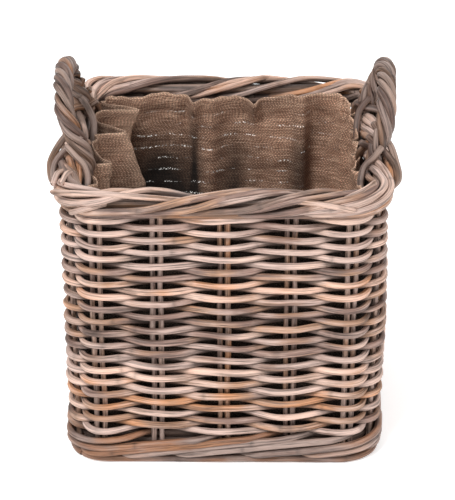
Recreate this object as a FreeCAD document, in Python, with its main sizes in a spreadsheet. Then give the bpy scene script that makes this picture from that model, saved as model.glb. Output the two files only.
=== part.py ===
"""Square woven cane log basket with a cloth liner and two roped handles.

Millimetres, +Z up.  The origin lies under the middle of the basket, on the
surface that it stands on.  The front wall faces -Y.
"""

import FreeCAD, Part
import math
import os

Vector = FreeCAD.Vector

# Driving dimensions: name, value, what it is.
DIMENSIONS = [
    ("rim_half", 183.0, "middle of the wall to the centre line, at the rim"),
    ("foot_half", 180.5, "the same at the floor"),
    ("corner_radius", 40.0, "corner of the wall's middle line, seen from above"),
    ("stake_diameter", 6.2, "upright rods, set in pairs"),
    ("stake_half_gap", 4.35, "half the distance between the two rods of a pair"),
    ("inner_spacing", 79.0, "from the middle pair of stakes to the next"),
    ("rim_outer_spacing", 71.5, "from there to the pair beside the corner, at the rim"),
    ("foot_outer_spacing", 69.0, "the same at the floor"),
    ("weaver_diameter", 7.9, "canes of the wall"),
    ("course_count", 35, "turns of cane between the foot wale and the border"),
    ("course_pitch", 8.2, "height of one course"),
    ("wale_diameter", 7.8, "thicker canes round the foot"),
    ("wale_pitch", 8.0, "height of one wale rod"),
    ("rods_under_base", 1, "wale rods below the sticks of the base"),
    ("rods_over_base", 3, "wale rods above the sticks of the base"),
    ("foot_wear", 0.4, "how far the lowest rod is worn flat where it stands"),
    ("cane_clearance", 0.2, "air between a cane and the stake that it bends round"),
    ("border_level", 342.8, "centre line of the border"),
    ("border_core_diameter", 13.0, "hoop inside the border"),
    ("border_rod_diameter", 8.2, "rods laid round that hoop"),
    ("border_lay_radius", 12.2, "centre of the hoop to the centre of a rod"),
    ("border_rod_count", 7, "rods laid round the hoop"),
    ("border_turns", 6, "turns that each rod makes in one round of the rim"),
    ("base_weaver_diameter", 6.8, "canes of the base"),
    ("base_weaver_pitch", 8.0, "from one cane of the base to the next"),
    ("liner_thickness", 2.0, "cloth with its folds"),
    ("liner_gap", 0.8, "air between the cloth and the canes"),
    ("liner_top", 325.0, "upper edge of the liner"),
    ("handle_half_span", 78.0, "middle of the basket to a foot of the handle"),
    ("handle_foot_half", 161.2, "middle of the basket to the bow beside the border"),
    ("handle_foot_level", 330.0, "lower end of the bow"),
    ("handle_top_half", 194.5, "middle of the basket to the top of the bow"),
    ("handle_top_level", 436.0, "centre of the rope at the top of the handle"),
    ("bow_diameter", 11.0, "rod inside the handle"),
    ("strand_diameter", 6.8, "canes twisted round the bow"),
    ("strand_lay_radius", 9.7, "centre of the bow to the centre of a strand"),
    ("strand_count", 5, "canes twisted round each bow"),
    ("strand_turns", 2.4, "turns of each strand along the handle"),
    ("lashing_diameter", 6.0, "cane that ties a foot of the handle to the border"),
]

WALLS = ["front", "right", "back", "left"]
BEND_RADIUS = 40.0
LAY_POINTS_PER_TURN = 16
STRAND_POINTS_PER_TURN = 12
STAKE_LAP = 2.0
STAKE_LIFT = 2.0
BORDER_GAP = 0.5
STICK_GAP = 0.4
BASE_GAP = 1.2
HANDLE_BEND = 30.0
END_GAP = 0.6
LEAST_TURN = 0.003
JOINT_STEP = 7
BARE_SHARE = 0.16


def make_sheet(doc):
    """Spreadsheet with one named cell for each driving dimension."""
    sheet = doc.addObject("Spreadsheet::Sheet", "Sizes")
    for row, (name, value, note) in enumerate(DIMENSIONS, start=1):
        sheet.set(f"A{row}", name)
        sheet.set(f"B{row}", str(value))
        sheet.set(f"C{row}", note)
        sheet.setAlias(f"B{row}", name)
    doc.recompute()
    return sheet


class Plan:
    """Where everything lies, worked out from the sheet."""

    def __init__(self, sheet):
        for name, _, _ in DIMENSIONS:
            setattr(self, name, getattr(sheet, name))
        self.pairs = len(self.pair_positions(0.0))
        self.wale_levels = self.levels_of_the_wale()
        self.weave_foot = self.wale_levels[-1] + self.wale_pitch / 2
        self.weave_top = self.weave_foot + self.course_count * self.course_pitch
        self.swing = self.swing_of(self.weaver_diameter)
        self.wale_swing = self.swing_of(self.wale_diameter)
        self.base_swing = self.swing_of(self.base_weaver_diameter)

    def swing_of(self, diameter):
        """How far a cane's centre line bends out to pass a stake or a stick."""
        return (self.stake_diameter + diameter) / 2 + self.cane_clearance

    def levels_of_the_wale(self):
        """Heights of the wale rods: some below the base sticks, the rest above."""
        below = int(self.rods_under_base)
        above = int(self.rods_over_base)
        first = self.wale_diameter / 2 - self.foot_wear
        levels = [first + k * self.wale_pitch for k in range(below)]
        reach = self.wale_diameter / 2 + STICK_GAP + self.stake_diameter / 2
        self.stick_level = levels[-1] + reach
        levels += [self.stick_level + reach + k * self.wale_pitch for k in range(above)]
        return levels

    def half(self, z):
        """Half the width of the wall's middle line at height z."""
        share = z / self.border_level
        return self.foot_half + (self.rim_half - self.foot_half) * share

    def outer_spacing(self, z):
        """Distance from the pair beside a corner to the next one, at height z."""
        share = z / self.border_level
        return self.foot_outer_spacing + (self.rim_outer_spacing - self.foot_outer_spacing) * share

    def wall_point(self, wall, along, offset, z):
        """Point and outward normal on a wall.

        along is measured on the middle line from the middle of the wall, to the
        right of someone who stands outside, and offset outwards from that line.
        """
        half = self.half(z)
        straight = half - self.corner_radius
        turned = max(abs(along) - straight, 0.0) / self.corner_radius
        side = math.copysign(1.0, along)
        x = side * (min(abs(along), straight) + self.corner_radius * math.sin(turned))
        y = -(half - self.corner_radius * (1.0 - math.cos(turned)))
        normal = Vector(side * math.sin(turned), -math.cos(turned), 0.0)
        point = Vector(x, y, 0.0) + normal * offset
        turn = FreeCAD.Rotation(Vector(0, 0, 1), 90.0 * wall)
        place = turn.multVec(point)
        place.z = z
        return place, turn.multVec(normal)

    def corner_at(self, z):
        """Distance on the middle line from the middle of a wall to the corner's middle."""
        return self.half(z) - self.corner_radius * (1.0 - math.pi / 4)

    def pair_positions(self, z):
        """Distances of the pairs of one wall from its middle."""
        inner = self.inner_spacing
        outer = inner + self.outer_spacing(z)
        return [-outer, -inner, 0.0, inner, outer]

    def course_points(self, z, swing, is_outside, first_pair):
        """Corners of the path of a cane that goes once round the basket.

        Its two ends meet behind one pair of stakes: the first pair at or after
        first_pair that the cane passes on the inside.
        """
        lap = self.stake_half_gap + STAKE_LAP
        total = len(WALLS) * self.pairs
        start = first_pair % total
        while is_outside(start):
            start = (start + 1) % total
        middle = self.pair_point(start, 0.0, -swing, z)
        points = [middle]
        for step in range(total + 1):
            pair = (start + step) % total
            offset = swing if is_outside(pair) else -swing
            if step > 0:
                points.append(self.pair_point(pair, -lap, offset, z))
            if step < total:
                points.append(self.pair_point(pair, lap, offset, z))
                if pair % self.pairs == self.pairs - 1:
                    wall = pair // self.pairs
                    beyond = swing if is_outside((pair + 1) % total) else -swing
                    halfway = (offset + beyond) / 2
                    points.append(self.wall_point(wall, self.corner_at(z), halfway, z)[0])
        points.append(middle)
        gap = (points[1] - points[-2]).normalize() * END_GAP / 2
        points[0] = middle + gap
        points[-1] = middle - gap
        return points

    def pair_point(self, pair, shift, offset, z):
        """Point beside one of the pairs, counted from the left end of the front wall."""
        wall, k = divmod(pair, self.pairs)
        return self.wall_point(wall, self.pair_positions(z)[k] + shift, offset, z)[0]


def rounded_path(points, bend=BEND_RADIUS):
    """Wire of straight runs joined by tangent arcs of about the given radius."""
    corners = [(points[0], None, points[0])]
    for before, corner, after in zip(points, points[1:], points[2:]):
        back = before - corner
        ahead = after - corner
        longest = 0.45 * min(back.Length, ahead.Length)
        back.normalize()
        ahead.normalize()
        half_turn = (math.pi - back.getAngle(ahead)) / 2
        if half_turn < LEAST_TURN:
            corners.append((corner, None, corner))
            continue
        cut = min(bend * math.tan(half_turn), longest)
        radius = cut / math.tan(half_turn)
        middle = back + ahead
        middle.normalize()
        crown = corner + middle * (radius / math.cos(half_turn) - radius)
        corners.append((corner + back * cut, crown, corner + ahead * cut))
    corners.append((points[-1], None, points[-1]))
    edges = []
    for (start, crown, end), (following, _, _) in zip(corners, corners[1:]):
        if crown is not None:
            edges.append(Part.Arc(start, crown, end).toShape())
        edges.append(Part.LineSegment(end, following).toShape())
    return Part.Wire(edges)


def rounded_square(half, radius, z):
    """Closed wire of a square with round corners."""
    straight = half - radius
    edges = []
    for wall in range(len(WALLS)):
        turn = FreeCAD.Rotation(Vector(0, 0, 1), 90.0 * wall)
        diagonal = straight + radius * math.sqrt(0.5)
        places = [(-straight, -half), (straight, -half), (diagonal, -diagonal), (half, -straight)]
        left, right, crown, beyond = [turn.multVec(Vector(x, y, z)) for x, y in places]
        edges.append(Part.LineSegment(left, right).toShape())
        edges.append(Part.Arc(right, crown, beyond).toShape())
    return Part.Wire(edges)


def swept_cane(doc, name, wire, diameter_cell):
    """Round cane swept along a wire, with its thickness bound to the sheet."""
    path = doc.addObject("Part::Feature", f"{name}_path")
    path.Shape = wire
    first = path.Shape.OrderedEdges[0]
    start = first.valueAt(first.FirstParameter)
    heading = first.tangentAt(first.FirstParameter)
    section = doc.addObject("Part::Circle", f"{name}_section")
    section.setExpression("Radius", f"Sizes.{diameter_cell} / 2")
    section.Placement = FreeCAD.Placement(start, FreeCAD.Rotation(Vector(0, 0, 1), heading))
    cane = doc.addObject("Part::Sweep", f"{name}_cane")
    cane.Sections = [section]
    cane.Spine = (path, [])
    cane.Solid = True
    cane.Frenet = False
    return cane


def straight_rod(doc, name, start, end, diameter_cell):
    """Straight round rod from one point to another."""
    rod = doc.addObject("Part::Cylinder", name)
    rod.setExpression("Radius", f"Sizes.{diameter_cell} / 2")
    rod.Height = (end - start).Length
    rod.Placement = FreeCAD.Placement(start, FreeCAD.Rotation(Vector(0, 0, 1), end - start))
    return rod


def bundle(doc, label, members):
    """Pieces of one kind that share a sub-part, each still a solid of its own."""
    group = doc.addObject("Part::Compound", label)
    group.Links = members
    group.Label = label
    return group


def named(piece, label):
    """Gives a single piece its sub-part name."""
    piece.Label = label
    return piece


def make_stakes(doc, plan):
    """Upright rods: five pairs in each wall, from the floor up to the border."""
    foot = STAKE_LIFT
    border_bottom = plan.border_level - plan.border_lay_radius - plan.border_rod_diameter / 2
    head = border_bottom - BORDER_GAP
    feet = plan.pair_positions(foot)
    heads = plan.pair_positions(head)
    nodes = []
    for wall, wall_name in enumerate(WALLS):
        rods = []
        for low, high in zip(feet, heads):
            for gap in (-plan.stake_half_gap, plan.stake_half_gap):
                start = plan.wall_point(wall, low + gap, 0.0, foot)[0]
                end = plan.wall_point(wall, high + gap, 0.0, head)[0]
                name = f"stake_{wall_name}_{len(rods) + 1}"
                rods.append(straight_rod(doc, name, start, end, "stake_diameter"))
        nodes.append(bundle(doc, f"stakes_{wall_name}", rods))
    return nodes


def make_foot_wale(doc, plan):
    """Long-stroke rods round the foot; the lowest is worn flat where it stands."""
    nodes = []
    for k, level in enumerate(plan.wale_levels):
        stride = plan.pairs - 1
        points = plan.course_points(
            level, plan.wale_swing, lambda pair: (pair + k) % stride != 0, k * JOINT_STEP
        )
        rod = swept_cane(doc, f"wale_{k + 1}", rounded_path(points), "wale_diameter")
        if k == 0:
            rod = worn_flat(doc, rod, plan)
        nodes.append(named(rod, f"foot_wale_rod_{k + 1}"))
    return nodes


def worn_flat(doc, rod, plan):
    """The lowest rod with everything below the floor taken off."""
    below = doc.addObject("Part::Box", "wear_below_floor")
    width = 2 * (plan.foot_half + plan.corner_radius)
    below.Length = width
    below.Width = width
    below.Height = plan.wale_diameter
    below.Placement.Base = Vector(-width / 2, -width / 2, -plan.wale_diameter)
    cut = doc.addObject("Part::Cut", "worn_rod")
    cut.Base = rod
    cut.Tool = below
    return cut


def make_weave(doc, plan):
    """Plain weave: each course passes the pairs on the side that the last one didn't."""
    nodes = []
    for k in range(int(plan.course_count)):
        level = plan.weave_foot + (k + 0.5) * plan.course_pitch
        points = plan.course_points(
            level, plan.swing, lambda pair: (pair + k) % 2 == 0, k * JOINT_STEP
        )
        name = f"weave_course_{k + 1:02d}"
        cane = swept_cane(doc, name, rounded_path(points), "weaver_diameter")
        nodes.append(named(cane, name))
    return nodes


def rim_station(plan, share):
    """Point on the border's centre line and its outward normal, share of a round on."""
    quarter = 2 * plan.corner_at(plan.border_level)
    travelled = (share % 1.0) * quarter * len(WALLS)
    wall = int(travelled // quarter)
    return plan.wall_point(wall, travelled - wall * quarter - quarter / 2, 0.0, plan.border_level)


def make_border(doc, plan):
    """Hoop of the rim and the rods that are laid round it like a rope."""
    middle = rounded_square(plan.half(plan.border_level), plan.corner_radius, plan.border_level)
    hoop = swept_cane(doc, "border_core", middle, "border_core_diameter")
    steps = int(plan.border_turns * LAY_POINTS_PER_TURN)
    rods = []
    for rod in range(int(plan.border_rod_count)):
        start = rod / plan.border_rod_count
        points = []
        for step in range(steps + 1):
            share = start + step / steps
            centre, outward = rim_station(plan, share)
            angle = 2 * math.pi * (share * plan.border_turns + start)
            reach = outward * (plan.border_lay_radius * math.cos(angle))
            rise = Vector(0, 0, plan.border_lay_radius * math.sin(angle))
            points.append(centre + reach + rise)
        gap = (points[1] - points[0]).normalize() * END_GAP
        points[0] += gap
        path = rounded_path(points)
        rods.append(swept_cane(doc, f"border_rod_{rod + 1}", path, "border_rod_diameter"))
    return [named(hoop, "border_core"), bundle(doc, "border_rods", rods)]


def inner_reach(plan, across, z):
    """How far from the middle a base cane may reach, at a distance across the base."""
    inside = plan.half(z) - plan.wale_swing - plan.wale_diameter / 2 - BASE_GAP
    radius = plan.corner_radius - (plan.half(z) - inside)
    into_corner = max(abs(across) - (inside - radius), 0.0)
    return inside - radius + math.sqrt(max(radius**2 - into_corner**2, 0.0))


def make_base(doc, plan):
    """Sticks from front to back, and the canes that are woven across them."""
    level = plan.stick_level
    columns = plan.pair_positions(level)
    sticks = []
    for along in columns:
        for gap in (-plan.stake_half_gap, plan.stake_half_gap):
            end = plan.wall_point(0, along + gap, 0.0, level)[0]
            end.y += plan.stake_diameter / 2 + BORDER_GAP
            start = Vector(end.x, -end.y, level)
            name = f"base_stick_{len(sticks) + 1}"
            sticks.append(straight_rod(doc, name, start, end, "stake_diameter"))
    lap = plan.stake_half_gap + STAKE_LAP
    edge = plan.half(level) - plan.wale_swing - plan.wale_diameter - BASE_GAP
    count = int(2 * edge / plan.base_weaver_pitch)
    canes = []
    for k in range(count):
        across = (k - (count - 1) / 2) * plan.base_weaver_pitch
        end = inner_reach(plan, abs(across) + plan.base_weaver_diameter / 2, level)
        crossed = [c for c, column in enumerate(columns) if abs(column) + lap + BASE_GAP < end]
        if len(crossed) < len(columns):
            end = columns[-1] - lap - plan.stake_diameter
        points = []
        for c in crossed:
            swing = plan.base_swing if (c + k) % 2 == 0 else -plan.base_swing
            for side in (-lap, lap):
                points.append(Vector(columns[c] + side, across, level + swing))
        points.insert(0, Vector(-end, across, points[0].z))
        points.append(Vector(end, across, points[-1].z))
        path = rounded_path(points)
        canes.append(swept_cane(doc, f"base_cane_{k + 1}", path, "base_weaver_diameter"))
    return [bundle(doc, "base_sticks", sticks), bundle(doc, "base_weavers", canes)]


def tapered_block(doc, name, inset, low, high, plan):
    """Solid that fills the basket up to a distance inside the wall's middle line."""
    sections = []
    for end, level in (("foot", low), ("head", high)):
        section = doc.addObject("Part::Feature", f"{name}_{end}")
        half = plan.half(level) - inset
        section.Shape = rounded_square(half, plan.corner_radius - inset, level)
        sections.append(section)
    block = doc.addObject("Part::Loft", name)
    block.Sections = sections
    block.Solid = True
    block.Ruled = True
    return block


def make_liner(doc, plan):
    """Cloth bag that lines the basket, open at the top."""
    canes = max(plan.swing + plan.weaver_diameter / 2, plan.wale_swing + plan.wale_diameter / 2)
    skin = canes + plan.liner_gap
    floor = plan.stick_level + plan.base_swing + plan.base_weaver_diameter / 2 + plan.liner_gap
    outside = tapered_block(doc, "liner_outside", skin, floor, plan.liner_top, plan)
    hollow_floor = floor + plan.liner_thickness
    hollow_top = plan.liner_top + plan.liner_thickness
    inset = skin + plan.liner_thickness
    hollow = tapered_block(doc, "liner_hollow", inset, hollow_floor, hollow_top, plan)
    liner = doc.addObject("Part::Cut", "liner")
    liner.Base = outside
    liner.Tool = hollow
    return [named(liner, "hessian_liner")]


def handle_route(plan):
    """Corners of the bow on the +X side, from its front foot to its back foot."""
    rise = plan.handle_top_level - plan.handle_foot_level
    lean = plan.handle_top_half - plan.handle_foot_half
    span = plan.handle_half_span
    half_route = [
        (0.0, 1.0, 0.0),
        (0.0, 1.0, 0.17),
        (0.22, 0.99, 0.36),
        (0.60, 0.95, 0.57),
        (0.86, 0.80, 0.78),
        (0.97, 0.46, 0.95),
        (1.0, 0.0, 1.0),
    ]
    route = []
    for out, across, up in half_route:
        x = plan.handle_foot_half + lean * out
        z = plan.handle_foot_level + rise * up
        route.append(Vector(x, -span * across, z))
    return route + [Vector(p.x, -p.y, p.z) for p in reversed(route[:-1])]


def strand_points(plan, centre_line, phase):
    """Corners of one strand's path, twisted round the bow."""
    first = centre_line.Length * BARE_SHARE
    last = centre_line.Length - first
    count = int(plan.strand_turns * STRAND_POINTS_PER_TURN) + 1
    stations = centre_line.discretize(First=0.0, Last=centre_line.Length, Number=400)
    side = Vector(1, 0, 0)
    points = []
    for step in range(count):
        travelled = first + (last - first) * step / (count - 1)
        place = travelled / centre_line.Length * (len(stations) - 1)
        k = min(int(place), len(stations) - 2)
        centre = stations[k] + (stations[k + 1] - stations[k]) * (place - k)
        heading = stations[min(k + 2, len(stations) - 1)] - stations[max(k - 1, 0)]
        heading.normalize()
        side = side - heading * side.dot(heading)
        side.normalize()
        across = heading.cross(side)
        angle = 2 * math.pi * (plan.strand_turns * step / (count - 1) + phase)
        reach = side * math.cos(angle) - across * math.sin(angle)
        points.append(centre + reach * plan.strand_lay_radius)
    return points


def lashing_points(plan, foot_y):
    """Corners of the cane that goes over the border, round the bow's foot and back."""
    border_half = plan.half(plan.border_level)
    clear = plan.border_lay_radius + (plan.border_rod_diameter + plan.lashing_diameter) / 2 + 1.2
    beside = (plan.bow_diameter + plan.lashing_diameter) / 2 + 0.9
    behind = plan.handle_foot_half - border_half - beside
    half_route = [math.radians(a) for a in (-38, 0, 40, 85, 125)]
    route = [(clear * math.cos(a), beside, clear * math.sin(a)) for a in half_route]
    route.append((behind * 0.8, beside, clear * 0.35))
    route.append((behind, beside * 0.6, clear * 0.1))
    route += [(out, -along, up) for out, along, up in reversed(route)]
    return [Vector(border_half + o, foot_y + a, plan.border_level + u) for o, a, u in route]


def make_handle(doc, plan, side_name, mirrored):
    """Bow, the strands twisted round it, and the lashings of its two feet."""

    def placed(points):
        return [Vector(-p.x, p.y, p.z) for p in points] if mirrored else points

    route = placed(handle_route(plan))
    prefix = f"{side_name}_handle"
    centre_line = rounded_path(route, HANDLE_BEND)
    bow = swept_cane(doc, f"{prefix}_bow", centre_line, "bow_diameter")
    strands = []
    for k in range(int(plan.strand_count)):
        path = rounded_path(strand_points(plan, centre_line, k / plan.strand_count))
        strands.append(swept_cane(doc, f"{prefix}_strand_{k + 1}", path, "strand_diameter"))
    lashings = []
    for foot_y in (-plan.handle_half_span, plan.handle_half_span):
        path = rounded_path(placed(lashing_points(plan, foot_y)))
        name = f"{prefix}_lashing_{len(lashings) + 1}"
        lashings.append(swept_cane(doc, name, path, "lashing_diameter"))
    return [
        named(bow, f"{prefix}_bow"),
        bundle(doc, f"{prefix}_strands", strands),
        bundle(doc, f"{prefix}_lashings", lashings),
    ]


def check_and_write(doc, nodes):
    """Stops on a failed object or a bad shape, then writes one file for each sub-part."""
    doc.recompute()
    failed = [o.Name for o in doc.Objects if {"Invalid", "Error"} & set(o.State)]
    if failed:
        raise RuntimeError(f"objects that failed: {failed}")
    for node in nodes:
        if node.Shape.isNull() or not node.Shape.isValid():
            raise RuntimeError(f"bad shape: {node.Label}")
        if not node.Shape.Solids:
            raise RuntimeError(f"no solid: {node.Label}")
    os.makedirs("parts", exist_ok=True)
    for node in nodes:
        node.Shape.exportStep(f"parts/{node.Label}.step")
        print(node.Label, len(node.Shape.Solids), round(node.Shape.Volume))


def main():
    doc = FreeCAD.newDocument("log_basket")
    plan = Plan(make_sheet(doc))
    nodes = make_stakes(doc, plan)
    nodes += make_foot_wale(doc, plan)
    nodes += make_weave(doc, plan)
    nodes += make_border(doc, plan)
    nodes += make_base(doc, plan)
    nodes += make_liner(doc, plan)
    nodes += make_handle(doc, plan, "right", mirrored=False)
    nodes += make_handle(doc, plan, "left", mirrored=True)
    check_and_write(doc, nodes)


main()
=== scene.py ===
"""Square woven cane log basket with a rope-laid border, two roped handles and a hessian liner.

Metres, +Z up.  The basket stands on the floor over the origin, and its front wall faces -Y.
"""

import logging
import math
from dataclasses import dataclass, field
from enum import Enum

import bpy
import numpy as np
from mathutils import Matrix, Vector


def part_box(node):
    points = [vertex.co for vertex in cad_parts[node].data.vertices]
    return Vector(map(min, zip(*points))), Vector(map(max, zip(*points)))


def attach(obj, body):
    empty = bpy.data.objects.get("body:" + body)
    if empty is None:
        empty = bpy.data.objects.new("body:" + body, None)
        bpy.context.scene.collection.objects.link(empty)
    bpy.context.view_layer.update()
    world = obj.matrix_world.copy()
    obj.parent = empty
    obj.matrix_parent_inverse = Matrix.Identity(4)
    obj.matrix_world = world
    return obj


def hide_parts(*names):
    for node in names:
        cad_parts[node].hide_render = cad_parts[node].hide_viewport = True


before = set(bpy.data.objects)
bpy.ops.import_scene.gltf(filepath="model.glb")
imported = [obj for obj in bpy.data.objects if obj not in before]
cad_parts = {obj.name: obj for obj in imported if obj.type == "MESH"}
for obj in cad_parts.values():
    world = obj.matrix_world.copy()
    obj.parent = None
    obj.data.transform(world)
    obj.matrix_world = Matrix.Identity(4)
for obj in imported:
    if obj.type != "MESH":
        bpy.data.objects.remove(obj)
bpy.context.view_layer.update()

log = logging.getLogger("log_basket")

TAU = 2 * math.pi
STEP = 0.004  # between the points of a cane's line
END_GAP = 0.0004  # from the end of a round of cane to the pair of stakes' middle
WALLS = 4
PAIRS = 5  # pairs of stakes in a wall


# --------------------------------------------------------------------------- shader tools


class Value:
    """A socket's value in a material, on which Python's operators add Math nodes."""

    def __init__(self, bench: "Bench", socket: bpy.types.NodeSocket) -> None:
        """Keeps the socket and the bench that it belongs to."""
        self.bench = bench
        self.socket = socket

    def _math(self, operation: str, *values: "Value | float") -> "Value":
        """Adds one Math node."""
        inputs = dict(enumerate(values))
        node = self.bench.node("ShaderNodeMath", {"operation": operation}, inputs)
        return Value(self.bench, node.outputs[0])

    def __add__(self, other: "Value | float") -> "Value":
        """self + other."""
        return self._math("ADD", self, other)

    def __radd__(self, other: float) -> "Value":
        """other + self."""
        return self._math("ADD", other, self)

    def __sub__(self, other: "Value | float") -> "Value":
        """self - other."""
        return self._math("SUBTRACT", self, other)

    def __rsub__(self, other: float) -> "Value":
        """other - self."""
        return self._math("SUBTRACT", other, self)

    def __mul__(self, other: "Value | float") -> "Value":
        """self * other."""
        return self._math("MULTIPLY", self, other)

    def __rmul__(self, other: float) -> "Value":
        """other * self."""
        return self._math("MULTIPLY", other, self)

    def __truediv__(self, other: "Value | float") -> "Value":
        """self / other."""
        return self._math("DIVIDE", self, other)

    def fraction(self) -> "Value":
        """What is left after the last whole number."""
        return self._math("FRACT", self)

    def whole(self) -> "Value":
        """The last whole number."""
        return self._math("FLOOR", self)

    def size(self) -> "Value":
        """The value without its sign."""
        return self._math("ABSOLUTE", self)

    def most(self, other: "Value | float") -> "Value":
        """The larger of two values."""
        return self._math("MAXIMUM", self, other)

    def between(self, low: float, high: float) -> "Value":
        """Eases from 0 at low to 1 at high."""
        node = self.bench.node(
            "ShaderNodeMapRange",
            {"interpolation_type": "SMOOTHSTEP"},
            {"Value": self, "From Min": low, "From Max": high},
        )
        return Value(self.bench, node.outputs[0])


class Bench:
    """A material's node tree, with one method that adds a node of any type."""

    def __init__(self, name: str) -> None:
        """Starts an empty material."""
        self.material = bpy.data.materials.new(name)
        self.material.use_nodes = True
        self.tree = self.material.node_tree
        self.tree.nodes.clear()

    def node(self, kind: str, settings: dict | None = None, inputs: dict | None = None) -> bpy.types.Node:
        """Adds a node.

        Args:
            kind: The node's type.
            settings: Attributes that are set first.
            inputs: A constant, a Value or a socket for each input, by name or number.

        Returns:
            The new node.
        """
        node = self.tree.nodes.new(kind)
        for key, value in (settings or {}).items():
            setattr(node, key, value)
        for key, value in (inputs or {}).items():
            socket = node.inputs[key]
            if isinstance(value, Value):
                self.tree.links.new(value.socket, socket)
            elif isinstance(value, bpy.types.NodeSocket):
                self.tree.links.new(value, socket)
            elif socket.type == "RGBA":
                socket.default_value = (*value, 1.0)
            else:
                socket.default_value = value
        return node

    def attribute(self, name: str) -> bpy.types.Node:
        """Reads a mesh attribute."""
        return self.node("ShaderNodeAttribute", {"attribute_name": name})

    def parts(self, vector: bpy.types.NodeSocket) -> list[Value]:
        """Splits a vector into its three values."""
        node = self.node("ShaderNodeSeparateXYZ", None, {0: vector})
        return [Value(self, socket) for socket in node.outputs]

    def noise(self, vector: bpy.types.NodeSocket, stretch: tuple, detail: float = 2.0) -> Value:
        """Adds noise.

        Args:
            vector: The place that it is read at.
            stretch: Cells to a metre along each axis.
            detail: Octaves.

        Returns:
            The noise, about 0.5 on average.
        """
        scaled = self.node("ShaderNodeVectorMath", {"operation": "MULTIPLY"}, {0: vector, 1: stretch})
        settings = {"noise_dimensions": "3D"}
        inputs = {"Vector": scaled.outputs[0], "Scale": 1.0, "Detail": detail, "Roughness": 0.6}
        return Value(self, self.node("ShaderNodeTexNoise", settings, inputs).outputs[0])

    def mix(self, share: "Value | float", first: object, second: object) -> bpy.types.NodeSocket:
        """Mixes two colours.

        Args:
            share: How much of the second colour.
            first: A colour, or a socket with one.
            second: A colour, or a socket with one.

        Returns:
            The mixed colour's socket.
        """
        node = self.node("ShaderNodeMix", {"data_type": "RGBA"}, {0: share, 6: first, 7: second})
        return node.outputs[2]

    def brighten(self, colour: bpy.types.NodeSocket, factor: Value) -> bpy.types.NodeSocket:
        """Multiplies a colour by a value."""
        node = self.node("ShaderNodeVectorMath", {"operation": "SCALE"}, {0: colour, "Scale": factor})
        return node.outputs[0]

    def finish(self, colour: object, roughness: Value, height: Value, depth: float, **extra: object) -> None:
        """Adds the shader with its bump and the material's output.

        Args:
            colour: Base colour.
            roughness: Roughness.
            height: Height of the surface, 0 to 1.
            depth: What a height of 1 measures.
            extra: Further inputs of the shader, by name with _ for a space.
        """
        bump = self.node("ShaderNodeBump", None, {"Height": height, "Distance": depth, "Strength": 1.0})
        inputs = {"Base Color": colour, "Roughness": roughness, "Normal": bump.outputs[0]}
        inputs.update({name.replace("_", " "): value for name, value in extra.items()})
        shader = self.node("ShaderNodeBsdfPrincipled", None, inputs)
        self.node("ShaderNodeOutputMaterial", None, {"Surface": shader.outputs[0]})


# --------------------------------------------------------------------------- finishes


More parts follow.
